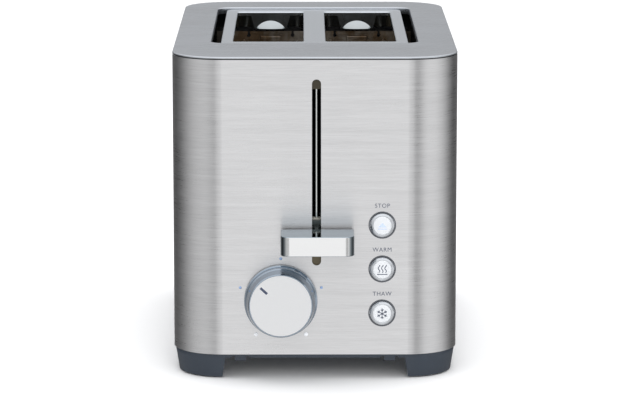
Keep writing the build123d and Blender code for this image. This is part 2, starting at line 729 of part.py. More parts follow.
def board_holder():
    """The plastic frame that stands on the base and carries the board."""
    legs = deep_block(-37, -31, 23.15, 26.2, 14.6, 31.5) + deep_block(48, 54, 23.15, 26.2, 14.6, 104)
    legs += deep_block(-37, 54, 23.15, 26.2, 14.6, 27.5) + deep_block(-37, -34.6, 23.15, 26.2, 14.6, 72)
    legs += deep_block(-37, -31, 23.15, 26.2, 65, 72)
    for x, z in BOARD_SCREWS:
        legs -= rod_y(x, z, 1.25, 22, 30)
    return legs


def board_screws():
    """Four small screws through the board into its holder."""

    def screw(spot):
        x, z = spot
        head = rod_y(x, z, 2.6, 19.9, 21.45)
        slot = deep_block(x - 2.8, x + 2.8, 19.5, 20.6, z - 0.3, z + 0.3)
        return head + rod_y(x, z, 1.2, 21.4, 27.0) - slot

    return each(BOARD_SCREWS, screw)


# ---------------------------------------------------------------- crumb tray, gland and wiring
def crumb_tray():
    """A shallow folded pan under the bread slots."""
    low, high = TRAY_Z
    front, back = TRAY_DEEP
    inside = TRAY_X - SHEET
    tray = deep_block(-TRAY_X, TRAY_X, front, back, low, high)
    return tray - deep_block(-inside, inside, front + SHEET, back + 1, low + SHEET, high + 1)


def tray_pull():
    """The moulded front of the tray, which closes its mouth at the back of the toaster."""
    x = TRAY_X + 1.7
    pull = deep_block(-x, x, TRAY_DEEP[1] + 0.02, BODY_D + 0.6, 14.7, TRAY_MOUTH_TOP - 0.3)
    grip = deep_block(-26, 26, BODY_D, BODY_D + REAR_REACH, 14.7, 18.2)
    grip = fillet(grip.edges().filter_by(Axis.Z).sort_by(Axis.Y)[-2:], 3.0)
    return pull + grip


def gland_step(half, deep0, deep1, low):
    """One step of the gland: round at the top, straight-sided below."""
    step = rod_y(GLAND_X, GLAND_Z, half, deep0, deep1)
    return step + deep_block(GLAND_X - half, GLAND_X + half, deep0, deep1, low, GLAND_Z)


def cord_gland():
    """The grooved bush that slides up the shell's notch, and that the mains lead passes through."""
    low = TRAY_MOUTH_TOP + 0.2
    flange = gland_step(GLAND_FLANGE, BODY_D + 0.05, BODY_D + 2.2, low)
    outer = flange.edges().filter_by_position(Axis.Y, FRONT + BODY_D + 2.19, FRONT + BODY_D + 2.21)
    gland = fillet(outer, 0.8) + gland_step(GLAND_NECK, BODY_D - 0.9, BODY_D + 0.1, low)
    gland += gland_step(GLAND_FLANGE, BODY_D - 4.5, BODY_D - SHEET - 0.05, UPSTAND_TOP + 0.3)
    gland += rod_y(GLAND_X, GLAND_Z, GLAND_NECK, BODY_D - 8, BODY_D - 4)
    return gland - rod_y(GLAND_X, GLAND_Z, GLAND_BORE_R, BODY_D - 20, BODY_D + 5)


def terminal_block():
    """A two-way terminal block on the rear end plate, with a screw well over each pole."""
    low, high = TERMINAL_Z
    moulding = deep_block(31, 49, REAR_PLATE + SHEET + 0.05, TERMINAL_BACK, low, high)
    for x in TERMINAL_POLES:
        moulding -= rod_z(x, 238.0, 1.8, high - 4, high + 1)
    return moulding


def insulated(route, radius):
    """A round insulated wire along a route of (x, deep, z) points with rounded corners."""
    path = FilletPolyline(*[(x, FRONT + deep, z) for x, deep, z in route], radius=radius)
    return sweep(Plane(origin=path @ 0, z_dir=path % 0) * Circle(LEAD_R), path=path)


def live_lead():
    """From the terminal block, round the chassis and across the floor to the switch block."""
    x, z = TERMINAL_POLES[0], TERMINAL_Z[0] + 6
    route = [(x, TERMINAL_BACK + 0.05, z), (x, 256, z), (66, 256, 68), (66, 150, 60), (66, 50, 66)]
    route += [(50, 34, 24), (-24, 34, 20), (-24, 49.95, 20)]
    return insulated(route, 9.0)


def neutral_lead():
    """From the terminal block up to the right-hand heater card's upper tab."""
    x, z = TERMINAL_POLES[1], TERMINAL_Z[0] + 6
    tab = CARD_TABS_Z[1] + CARD_TAB_H / 2
    end = REAR_PLATE + SHEET + 1.55
    return insulated([(x, TERMINAL_BACK + 0.05, z), (x, 252, z), (CARD_X, 252, tab), (CARD_X, end, tab)], 8.0)


# ---------------------------------------------------------------- every node and its maker
PARTS = {
    "body_shell": body_shell,
    "top_plate": top_plate,
    "top_frame": top_frame,
    "slot_surround": slot_surround,
    "base": base,
    "foot_pads": foot_pads,
    "base_screws": base_screws,
    "front_end_plate": front_end_plate,
    "rear_end_plate": rear_end_plate,
    "left_side_shield": lambda: side_shield(-1),
    "right_side_shield": lambda: side_shield(1),
    "left_heater_card": lambda: heater_card(-CARD_X),
    "centre_heater_card": lambda: heater_card(0.0),
    "right_heater_card": lambda: heater_card(CARD_X),
    "left_heater_winding": lambda: heater_winding(-CARD_X),
    "centre_heater_winding": lambda: heater_winding(0.0),
    "right_heater_winding": lambda: heater_winding(CARD_X),
    "guard_left_outer": lambda: guard(-1, -1),
    "guard_left_inner": lambda: guard(-1, 1),
    "guard_right_inner": lambda: guard(1, -1),
    "guard_right_outer": lambda: guard(1, 1),
    "guide_rod": guide_rod,
    "slider_bush": slider_bush,
    "carriage_bracket": carriage_bracket,
    "left_bread_rack": lambda: bread_rack(-1),
    "right_bread_rack": lambda: bread_rack(1),
    "lever_arm": lever_arm,
    "lever_cap": lever_cap,
    "lever_core": lever_core,
    "lever_bumpers": lever_bumpers,
    "armature_plate": armature_plate,
    "magnet_core": magnet_core,
    "magnet_coil": magnet_coil,
    "return_spring": return_spring,
    "switch_block": switch_block,
    "contact_leaves": contact_leaves,
    "knob_body": knob_body,
    "knob_face": knob_face,
    "knob_pointer": knob_pointer,
    "pot_shaft": pot_shaft,
    "potentiometer": potentiometer,
    "button_bezels": button_bezels,
    "cancel_button_cap": lambda: button_cap("cancel"),
    "reheat_button_cap": lambda: button_cap("reheat"),
    "defrost_button_cap": lambda: button_cap("defrost"),
    "cancel_button_lens": lambda: button_lens("cancel"),
    "reheat_button_lens": lambda: button_lens("reheat"),
    "defrost_button_lens": lambda: button_lens("defrost"),
    "control_board": control_board,
    "tact_switches": tact_switches,
    "board_components": board_components,
    "board_holder": board_holder,
    "board_screws": board_screws,
    "crumb_tray": crumb_tray,
    "tray_pull": tray_pull,
    "cord_gland": cord_gland,
    "terminal_block": terminal_block,
    "live_lead": live_lead,
    "neutral_lead": neutral_lead,
}

os.makedirs("parts", exist_ok=True)
for node, maker in PARTS.items():
    export_step(maker(), f"parts/{node}.step")
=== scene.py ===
import bmesh
import bpy
import json
import math
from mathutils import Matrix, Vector


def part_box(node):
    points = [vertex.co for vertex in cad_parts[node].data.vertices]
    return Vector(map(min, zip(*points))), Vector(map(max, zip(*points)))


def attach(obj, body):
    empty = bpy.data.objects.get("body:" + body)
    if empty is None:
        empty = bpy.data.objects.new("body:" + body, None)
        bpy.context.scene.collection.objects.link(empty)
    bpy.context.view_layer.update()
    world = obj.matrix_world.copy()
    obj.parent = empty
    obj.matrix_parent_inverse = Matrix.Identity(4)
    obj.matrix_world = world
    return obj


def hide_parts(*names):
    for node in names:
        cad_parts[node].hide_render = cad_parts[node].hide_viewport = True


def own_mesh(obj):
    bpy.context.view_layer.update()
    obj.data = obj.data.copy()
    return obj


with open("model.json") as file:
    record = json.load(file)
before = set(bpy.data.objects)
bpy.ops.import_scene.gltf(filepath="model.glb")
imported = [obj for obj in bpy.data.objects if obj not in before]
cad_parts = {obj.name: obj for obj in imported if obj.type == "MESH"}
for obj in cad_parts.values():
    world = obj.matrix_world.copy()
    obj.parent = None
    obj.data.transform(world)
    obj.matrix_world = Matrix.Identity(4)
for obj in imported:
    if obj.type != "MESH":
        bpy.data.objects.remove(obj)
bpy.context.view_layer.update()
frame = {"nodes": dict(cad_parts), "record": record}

# The looks of the pop up toaster. The frame's pieces get their materials here, and the return spring's coil,
# the printed pictograms and words, and the dots round the knob are made as meshes of their own.

NODES = frame["nodes"]
MM = 0.001
WHITE = (1.0, 1.0, 1.0)

# ---------------------------------------------------------------- places read from the frame
SHELL_LOW, SHELL_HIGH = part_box("body_shell")
FRONT_Y = SHELL_LOW.y
SURROUND_LOW, SURROUND_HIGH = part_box("slot_surround")
FACE_LOW, FACE_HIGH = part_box("knob_face")
KNOB_CENTRE = (FACE_LOW + FACE_HIGH) / 2
SPRING_LOW, SPRING_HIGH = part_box("return_spring")

# ---------------------------------------------------------------- camera
# Fitted to the body's edges in the photograph. Places are in metres.
SENSOR_MM = 36.0
LENS_MM = 182.2
CAMERA_X, CAMERA_BACK, CAMERA_Z = -0.0071, 1.8297, 0.4334
CAMERA_DOWN_DEG = 10.166
CAMERA_TURN = -0.0054
CLIP_END = 50.0

# ---------------------------------------------------------------- studio
# Rings of grey cards round the toaster, as (share of a turn, brightness). They are what the metal mirrors.
# A ring goes from behind, past the left, the front (0.5) and the right, to behind again.
FLOOR_RING = (
    (0.0, 0.48), (0.2, 0.42), (0.32, 0.58), (0.43, 0.55), (0.5, 1.05), (0.57, 0.50), (0.68, 0.62),
    (0.8, 0.42), (1.0, 0.48))
LOW_RING = (
    (0.0, 0.14), (0.06, 0.12), (0.095, 0.05), (0.125, 0.015), (0.18, 0.03), (0.235, 0.20), (0.30, 0.58),
    (0.385, 0.74), (0.435, 0.36), (0.458, 0.06), (0.475, 1.0), (0.5, 1.02), (0.525, 1.0), (0.545, 0.16),
    (0.562, 0.0), (0.60, 0.78), (0.64, 1.10), (0.70, 0.98), (0.76, 0.58), (0.81, 0.15), (0.86, 0.01),
    (0.90, 0.08), (0.94, 0.12), (1.0, 0.14))
HIGH_RING = (
    (0.0, 0.36), (0.15, 0.26), (0.25, 0.34), (0.36, 0.62), (0.44, 0.70), (0.5, 0.91), (0.56, 0.70),
    (0.65, 0.70), (0.75, 0.40), (0.85, 0.26), (1.0, 0.36))
DOME = ((0.0, 0.0), (0.2, 0.0), (0.55, 0.75), (1.0, 1.0))
DOME_WHITE = (1.18, 1.19, 1.21)
# slope and offset over the height of a direction, from one ring to the next
LOW_TO_FLOOR = (-6.5, -1.5)
LOW_TO_HIGH = (7.0, 0.5)

FLOOR_HALF = 6.0
FLOOR_WHITE = (0.93, 0.93, 0.93)

# name, place, aim, diameter, watts
LIGHTS = (
    ("overhead", (0.0, 0.2, 2.2), (0.0, 0.1, 0.0), 2.2, 26.0),
    ("front_fill", (0.3, -2.4, 0.8), (0.0, 0.0, 0.05), 1.4, 16.0))

# ---------------------------------------------------------------- small pieces
SPRING_WIRE = 0.45 * MM
COIL_TURNS, COIL_STEPS = 16, 20
HOOK_STEPS = 8
UPPER_HOOK_RISE, UPPER_HOOK_REACH = 3.0 * MM, 5.6 * MM
LOWER_HOOK_DROP, LOWER_HOOK_REACH = 4.0 * MM, -0.6 * MM

PRINT_LINE = 0.44 * MM
PRINT_PROUD = 0.03 * MM
PRINT_THICK = 0.08 * MM
WORDS = {"cancel": "STOP", "reheat": "WARM", "defrost": "THAW"}
WORD_SIZE = 3.4 * MM
WORD_SPACING = 1.12
WORD_PROUD = 0.02 * MM
WORD_ABOVE_LENS = 10.2 * MM

# pictograms, in millimetres from the lens's centre
ARROW = ((-2.4, -0.9), (2.4, -0.9), (0.0, 1.7))
ARROW_BAR = ((-2.6, -1.9), (2.6, -1.9))
HEAT_BAR = ((-3.0, -2.7), (3.0, -2.7))
WAVE_PLACES = (-1.9, 0.0, 1.9)
WAVE_LOW, WAVE_RISE, WAVE_SWING, WAVE_BENDS, WAVE_STEPS = -1.7, 4.5, 0.48, 2.6, 16
FLAKE_ARMS, FLAKE_ARM, FLAKE_FORK, FLAKE_BRANCH, FLAKE_BRANCH_DEG = 6, 3.15, 1.8, 1.1, 48

DOT_STEP_DEG = 72
DOT_RING = 24.6 * MM
DOT_SIDES = 24
# share of the radius, and rise in millimetres
DOT_PROFILE = ((1.0, 0.0), (0.95, 0.18), (0.7, 0.38), (0.35, 0.48))
SMALL_DOT, LARGE_DOT = 0.85 * MM, 1.25 * MM


# ---------------------------------------------------------------- nodes
def math_node(tree, operation, a, b=None, c=None):
    """A Math node whose inputs are numbers or sockets. Returns its output."""
    node = tree.nodes.new("ShaderNodeMath")
    node.operation = operation
    for socket, value in zip(node.inputs, (a, b, c)):
        if value is None:
            continue
        if isinstance(value, (int, float)):
            socket.default_value = value
        else:
            tree.links.new(value, socket)
    return node.outputs[0]


def mix_node(tree, factor, low, high):
    """A colour mix between two colour sockets. Returns its output."""
    node = tree.nodes.new("ShaderNodeMix")
    node.data_type = "RGBA"
    tree.links.new(factor, node.inputs["Factor"])
    tree.links.new(low, node.inputs["A"])
    tree.links.new(high, node.inputs["B"])
    return node.outputs["Result"]


def colour_node(tree, colour):
    """One plain colour, as a socket."""
    node = tree.nodes.new("ShaderNodeRGB")
    node.outputs[0].default_value = (*colour, 1.0)
    return node.outputs[0]


def ramp_node(tree, source, stops):
    """A smooth ramp of greys over a source, from (position, value) stops."""
    node = tree.nodes.new("ShaderNodeValToRGB")
    node.color_ramp.interpolation = "B_SPLINE"
    while len(node.color_ramp.elements) < len(stops):
        node.color_ramp.elements.new(0.5)
    for element, (position, value) in zip(node.color_ramp.elements, stops):
        element.position = position
        element.color = (value, value, value, 1.0)
    tree.links.new(source, node.inputs[0])
    return node.outputs["Color"]


def share_node(tree, source, slope, offset):
    """A source on a straight line, kept between 0 and 1."""
    line = math_node(tree, "MULTIPLY_ADD", source, slope, offset)
    return math_node(tree, "MINIMUM", math_node(tree, "MAXIMUM", line, 0.0), 1.0)


# ---------------------------------------------------------------- camera, world, floor and lights
def make_camera():
    """A long lens in front of the control end, looking down a little."""
    data = bpy.data.cameras.new("camera")
    data.sensor_width = SENSOR_MM
    data.lens = LENS_MM
    data.clip_end = CLIP_END
    camera = bpy.data.objects.new("camera", data)
    camera.location = (CAMERA_X, FRONT_Y - CAMERA_BACK, CAMERA_Z)
    camera.rotation_euler = (math.radians(90 - CAMERA_DOWN_DEG), 0.0, CAMERA_TURN)
    bpy.context.scene.collection.objects.link(camera)
    bpy.context.scene.camera = camera


def make_world():
    """The rings of cards under a white dome. Rays straight from the camera see plain white."""
    world = bpy.data.worlds.new("studio")
    bpy.context.scene.world = world
    world.use_nodes = True
    tree = world.node_tree
    tree.nodes.clear()
    split = tree.nodes.new("ShaderNodeSeparateXYZ")
    tree.links.new(tree.nodes.new("ShaderNodeTexCoord").outputs["Generated"], split.inputs[0])
    x, y, z = split.outputs
    turn = math_node(tree, "ARCTAN2", x, math_node(tree, "MULTIPLY", y, -1.0))
    share = math_node(tree, "MULTIPLY_ADD", turn, 0.5 / math.pi, 0.5)
    lower = mix_node(tree, share_node(tree, z, *LOW_TO_FLOOR),
                     ramp_node(tree, share, LOW_RING), ramp_node(tree, share, FLOOR_RING))
    sides = mix_node(tree, share_node(tree, z, *LOW_TO_HIGH), lower, ramp_node(tree, share, HIGH_RING))
    sky = mix_node(tree, ramp_node(tree, z, DOME), sides, colour_node(tree, DOME_WHITE))
    seen = tree.nodes.new("ShaderNodeLightPath").outputs["Is Camera Ray"]
    background = tree.nodes.new("ShaderNodeBackground")
    tree.links.new(mix_node(tree, seen, sky, colour_node(tree, WHITE)), background.inputs["Color"])
    output = tree.nodes.new("ShaderNodeOutputWorld")
    tree.links.new(background.outputs[0], output.inputs["Surface"])


def make_floor():
    """A plain white table, which the metal doesn't mirror."""
    mesh = bpy.data.meshes.new("floor")
    corners = [(x * FLOOR_HALF, y * FLOOR_HALF, 0) for x, y in ((-1, -1), (1, -1), (1, 1), (-1, 1))]
    mesh.from_pydata(corners, [], [(0, 1, 2, 3)])
    floor = bpy.data.objects.new("floor", mesh)
    bpy.context.scene.collection.objects.link(floor)
    material = bpy.data.materials.new("floor_white")
    material.use_nodes = True
    shader = material.node_tree.nodes["Principled BSDF"]
    shader.inputs["Base Color"].default_value = (*FLOOR_WHITE, 1.0)
    shader.inputs["Roughness"].default_value = 0.9
    shader.inputs["Specular IOR Level"].default_value = 0.1
    mesh.materials.append(material)
    floor.visible_glossy = False


def make_lights():
    """Wide soft lights, which the metal doesn't mirror."""
    for name, place, aim, size, power in LIGHTS:
        data = bpy.data.lights.new(name, "AREA")
        data.shape = "DISK"
        data.size = size
        data.energy = power
        light = bpy.data.objects.new(name, data)
        light.location = place
        light.rotation_euler = (Vector(aim) - Vector(place)).to_track_quat("-Z", "Y").to_euler()
        light.visible_glossy = False
        bpy.context.scene.collection.objects.link(light)


# ---------------------------------------------------------------- material tools
class Paint:
    """One procedural material, built up by short calls."""

    def __init__(self, name, colour, metallic=0.0, roughness=0.5, specular=0.5):
        self.material = bpy.data.materials.new(name)
        self.material.use_nodes = True
        self.tree = self.material.node_tree
        self.shader = self.tree.nodes["Principled BSDF"]
        self.colour = (*colour, 1.0)
        self.set("Base Color", self.colour)
        self.set("Metallic", metallic)
        self.set("Roughness", roughness)
        self.set("Specular IOR Level", specular)
        self.relief = None

    def set(self, socket, value):
        self.shader.inputs[socket].default_value = value

    def link(self, source, socket):
        self.tree.links.new(source, self.shader.inputs[socket])

    def coords(self, stretch=(1, 1, 1), centre=(0, 0, 0)):
        """Object coordinates in millimetres from a centre, stretched."""
        source = self.tree.nodes.new("ShaderNodeTexCoord").outputs["Object"]
        mapping = self.tree.nodes.new("ShaderNodeMapping")
        mapping.inputs["Scale"].default_value = tuple(s / MM for s in stretch)
        mapping.inputs["Location"].default_value = tuple(-s * c / MM for s, c in zip(stretch, centre))
        self.tree.links.new(source, mapping.inputs["Vector"])
        return mapping.outputs["Vector"]

    def facing(self):
        """The direction that the surface faces, in the object's axes."""
        return self.tree.nodes.new("ShaderNodeTexCoord").outputs["Normal"]

    def component(self, vector, axis):
        """One component of a vector: 0 for x, 1 for y, 2 for z."""
        split = self.tree.nodes.new("ShaderNodeSeparateXYZ")
        self.tree.links.new(vector, split.inputs[0])
        return split.outputs[axis]

    def noise(self, stretch, detail=3.0, roughness=0.55, scale=1.0):
        """Noise over stretched millimetres."""
        node = self.tree.nodes.new("ShaderNodeTexNoise")
        node.inputs["Scale"].default_value = scale
        node.inputs["Detail"].default_value = detail
        node.inputs["Roughness"].default_value = roughness
        self.tree.links.new(self.coords(stretch), node.inputs["Vector"])
        return node.outputs["Fac"]

    def spread(self, source, low=0.0, high=1.0, start=0.3, end=0.7):
        """A factor from start to end, mapped to a value from low to high.

        Most noise lies between 0.3 and 0.7.
        """
        node = self.tree.nodes.new("ShaderNodeMapRange")
        for socket, value in zip(node.inputs[1:5], (start, end, low, high)):
            socket.default_value = value
        self.tree.links.new(source, node.inputs["Value"])
        return node.outputs["Result"]

    def tint(self, factor, dark, pale=None):
        """The base colour moves from a dark tint to a pale one as the factor goes from 0 to 1.

        A later tint multiplies the colour that is there already.
        """
        mix = self.tree.nodes.new("ShaderNodeMix")
        mix.data_type = "RGBA"
        mix.inputs["A"].default_value = (*dark, 1.0)
        mix.inputs["B"].default_value = (*pale, 1.0) if pale else self.colour
        self.tree.links.new(factor, mix.inputs["Factor"])
        source = self.shader.inputs["Base Color"]
        if source.is_linked:
            blend = self.tree.nodes.new("ShaderNodeMix")
            blend.data_type = "RGBA"
            blend.blend_type = "MULTIPLY"
            blend.inputs["Factor"].default_value = 1.0
            self.tree.links.new(source.links[0].from_socket, blend.inputs["A"])
            self.tree.links.new(mix.outputs["Result"], blend.inputs["B"])
            self.link(blend.outputs["Result"], "Base Color")
        else:
            self.link(mix.outputs["Result"], "Base Color")

    def gloss(self, factor, low, high, start=0.3, end=0.7):
        """Roughness from low to high, in place of any there is."""
        self.link(self.spread(factor, low, high, start, end), "Roughness")

    def bump(self, height, depth_mm):
        """A relief of a depth in millimetres, on top of any relief there already is."""
        node = self.tree.nodes.new("ShaderNodeBump")
        node.inputs["Strength"].default_value = 1.0
        node.inputs["Distance"].default_value = depth_mm * MM
        self.tree.links.new(height, node.inputs["Height"])
        if self.relief:
            self.tree.links.new(self.relief, node.inputs["Normal"])
        self.relief = node.outputs["Normal"]
        self.link(self.relief, "Normal")


def dimmed(colour, share):
    """A colour, or any list of numbers, times a share."""
    return tuple(c * share for c in colour)


def brushed(name, colour, roughness, grain, streak, depth_mm, anisotropy=0.0):
    """Metal with fine scratches. grain is the stretch of its coordinates, short along the scratches."""
    paint = Paint(name, colour, metallic=1.0, roughness=roughness)
    fine = paint.noise(grain, 4.0, 0.7)
    broad = paint.noise(dimmed(grain, 0.12))
    smudge = paint.noise((0.02, 0.02, 0.02), 4.0)
    paint.tint(paint.spread(fine), dimmed(colour, 1.0 - streak))
    paint.tint(paint.spread(broad), dimmed(WHITE, 1.0 - 0.5 * streak), WHITE)
    smudge_share = 0.3
    scratches = math_node(paint.tree, "MULTIPLY", fine, 1.0 - smudge_share)
    mixed = math_node(paint.tree, "MULTIPLY_ADD", smudge, smudge_share, scratches)
    paint.gloss(mixed, roughness * 0.86, roughness * 1.16, 0.35, 0.65)
    paint.bump(fine, depth_mm)
    if anisotropy:
        tangent = paint.tree.nodes.new("ShaderNodeTangent")
        tangent.direction_type = "RADIAL"
        tangent.axis = "Z"
        paint.link(tangent.outputs[0], "Tangent")
        paint.set("Anisotropic", anisotropy)
        paint.set("Anisotropic Rotation", 0.25)
    return paint


def sheet_metal(name, colour, roughness, spangle=0.12):
    """Plain coated sheet with a crystalline mottle and a few rub marks."""
    paint = Paint(name, colour, metallic=1.0, roughness=roughness)
    cells = paint.tree.nodes.new("ShaderNodeTexVoronoi")
    cells.inputs["Scale"].default_value = 0.28
    paint.tree.links.new(paint.coords(), cells.inputs["Vector"])
    value = paint.tree.nodes.new("ShaderNodeSeparateColor")
    paint.tree.links.new(cells.outputs["Color"], value.inputs[0])
    rub = paint.noise((0.05, 0.05, 0.6), 5.0, 0.65)
    paint.tint(paint.spread(value.outputs[0], 0.0, 1.0, 0.0, 1.0), dimmed(colour, 1 - spangle))
    paint.tint(paint.spread(rub), (0.82, 0.81, 0.80), WHITE)
    paint.gloss(rub, roughness * 0.8, roughness * 1.25)
    paint.bump(rub, 0.02)
    return paint


def moulded(name, colour, roughness, depth_mm=0.015):
    """Moulded plastic with a fine spark-eroded texture and slight clouds of wear."""
    paint = Paint(name, colour, roughness=roughness, specular=0.45)
    texture = paint.noise((1, 1, 1), 3.0, 0.6, 2.6)
    cloud = paint.noise((0.03, 0.03, 0.03), 4.0)
    paint.tint(paint.spread(cloud), dimmed(colour, 0.86))
    paint.gloss(texture, roughness * 0.88, roughness * 1.14)
    paint.bump(texture, depth_mm)
    return paint


def plated(name, colour, roughness):
    """Bright plating with faint polishing haze."""
    paint = Paint(name, colour, metallic=1.0, roughness=roughness)
    haze = paint.noise((0.2, 0.2, 0.2), 4.0)
    paint.tint(paint.spread(haze), dimmed(colour, 0.94))
    paint.gloss(haze, roughness * 0.7, roughness * 1.6)
    return paint


# ---------------------------------------------------------------- the materials
def wrap_paint():
    """Brushed on the outside, with painted shade darkening the face that looks into the body."""
    paint = brushed("brushed_wrap", (0.83, 0.83, 0.84), 0.30, (0.07, 0.07, 2.2), 0.15, 0.002, 0.75)
    centre = (SHELL_LOW + SHELL_HIGH) / 2
    # millimetres from the body's middle along the way the surface faces: below zero on the inner face
    outward = paint.tree.nodes.new("ShaderNodeVectorMath")
    outward.operation = "DOT_PRODUCT"
    paint.tree.links.new(paint.coords((1, 1, 0), centre), outward.inputs[0])
    paint.tree.links.new(paint.facing(), outward.inputs[1])
    # painted shade: the face that looks into the body is tinted nearly black
    paint.tint(paint.spread(outward.outputs["Value"], 0.0, 1.0, -30.0, -10.0), (0.2, 0.2, 0.2), WHITE)
    return paint


def surround_paint():
    """Satin on top and polished on the tabs below. Painted shade darkens everything below the rim, and paints
    the sides of the slots' skirt nearly black.
    """
    paint = brushed("polished_steel", (0.80, 0.845, 0.90), 0.26, (3.0, 0.03, 3.0), 0.04, 0.002)
    top_mm = SURROUND_HIGH.z / MM
    rim_mm = (top_mm - 1.2, top_mm - 0.5)
    height = paint.component(paint.coords(), 2)
    paint.gloss(height, 0.05, 0.27, *rim_mm)
    level = paint.spread(height, 0.0, 1.0, *rim_mm)
    # painted shade: a darker tint on everything below the rim
    paint.tint(level, (0.66, 0.66, 0.63), WHITE)
    centre = (SURROUND_LOW + SURROUND_HIGH) / 2
    end = math_node(paint.tree, "ABSOLUTE", paint.component(paint.coords((1, 1, 1), centre), 1))
    skirt_mm = (SURROUND_HIGH.y - SURROUND_LOW.y) / 2 / MM
    inside = paint.spread(end, 1.0, 0.0, skirt_mm - 6.0, skirt_mm - 3.0)
    # painted shade: the sides of the slots' skirt below the rim are tinted nearly black
    paint.tint(math_node(paint.tree, "MAXIMUM", level, inside), (0.22, 0.22, 0.21), WHITE)
    return paint


def lever_paint():
    """Satin on the front; glossier on the top, the underside and the sides, which carry a painted dark bluish
    reflection, darker still on the sides.
    """
    paint = brushed("lever_chrome", (0.965, 0.97, 0.975), 0.24, (0.05, 2.0, 4.5), 0.02, 0.001)
    facing = paint.facing()
    front = math_node(paint.tree, "ABSOLUTE", paint.component(facing, 1))
    side = math_node(paint.tree, "ABSOLUTE", paint.component(facing, 0))
    # painted reflection: every face but the front is tinted dark blue
    paint.tint(paint.spread(front, 0.0, 1.0, 0.78, 0.98), (0.34, 0.42, 0.48), WHITE)
    # painted shade: the sides are darkened further
    paint.tint(paint.spread(side, 1.0, 0.0, 0.25, 0.60), (0.42, 0.40, 0.38), WHITE)
    paint.gloss(front, 0.10, 0.24, 0.78, 0.98)
    return paint


def spun_paint():
    """The knob's face: very fine rings round its centre."""
    paint = Paint("spun_face", (0.965, 0.975, 0.99), metallic=1.0, roughness=0.34)
    length = paint.tree.nodes.new("ShaderNodeVectorMath")
    length.operation = "LENGTH"
    paint.tree.links.new(paint.coords((1, 0, 1), KNOB_CENTRE), length.inputs[0])
    rings = paint.tree.nodes.new("ShaderNodeTexNoise")
    rings.noise_dimensions = "1D"
    rings.inputs["Scale"].default_value = 3.2
    rings.inputs["Detail"].default_value = 3.0
    paint.tree.links.new(length.outputs["Value"], rings.inputs["W"])
    factor = rings.outputs["Fac"]
    paint.tint(paint.spread(factor), (0.92, 0.93, 0.945))
    paint.gloss(factor, 0.28, 0.40)
    paint.bump(factor, 0.004)
    return paint


def heat_paint():
    """The rear end plate: coated steel with clouds of brown heat tint."""
    paint = sheet_metal("heated_plate", (0.44, 0.41, 0.37), 0.38)
    stain = paint.noise((0.09, 0.09, 0.05), 5.0, 0.6)
    paint.tint(paint.spread(stain, 0.0, 1.0, 0.38, 0.62), (0.50, 0.36, 0.24), (1.0, 0.98, 0.95))
    return paint


def bumper_paint():
    """The stops behind the lever's slot: brown, and darker towards the top, on the upper one."""
    paint = moulded("bumper_rubber", (0.13, 0.105, 0.06), 0.5, 0.03)
    height = paint.component(paint.coords(), 2)
    between_mm = (100.0, 140.0)
    paint.tint(paint.spread(height, 1.0, 0.0, *between_mm), (0.3, 0.3, 0.3), WHITE)
    return paint


def mica_paint():
    """Flaky amber sheet."""
    paint = Paint("mica", (0.52, 0.44, 0.32), roughness=0.42)
    flakes = paint.noise((0.35, 0.35, 0.35), 6.0, 0.7)
    paint.tint(paint.spread(flakes), (0.30, 0.24, 0.17))
    paint.gloss(flakes, 0.28, 0.55)
    paint.bump(flakes, 0.03)
    return paint


def winding_paint():
    """The magnet's coil: turns of enamelled copper."""
    paint = Paint("copper_coil", (0.50, 0.19, 0.07), metallic=0.7, roughness=0.3)
    wave = paint.tree.nodes.new("ShaderNodeTexWave")
    wave.bands_direction = "Z"
    wave.inputs["Scale"].default_value = 0.6
    paint.tree.links.new(paint.coords(), wave.inputs["Vector"])
    paint.tint(wave.outputs["Fac"], (0.22, 0.07, 0.03))
    paint.bump(wave.outputs["Fac"], 0.15)
    return paint


def board_paint():
    """Green resist over the tracks of the circuit board."""
    paint = Paint("board_green", (0.03, 0.19, 0.09), roughness=0.3)
    track = paint.tree.nodes.new("ShaderNodeTexBrick")
    track.inputs["Scale"].default_value = 0.25
    track.inputs["Mortar Size"].default_value = 0.03
    paint.tree.links.new(paint.coords((1, 0, 1)), track.inputs["Vector"])
    paint.tint(track.outputs["Fac"], (0.03, 0.19, 0.09), (0.06, 0.30, 0.15))
    paint.bump(track.outputs["Fac"], 0.03)
    return paint


def lens_paint():
    """The buttons' pale discs."""
    paint = Paint("button_lens", (0.93, 0.955, 0.985), metallic=0.6, roughness=0.34)
    speckle = paint.noise((1.5, 1.5, 1.5))
    paint.tint(paint.spread(speckle), (0.89, 0.915, 0.95))
    paint.gloss(speckle, 0.30, 0.40)
    return paint


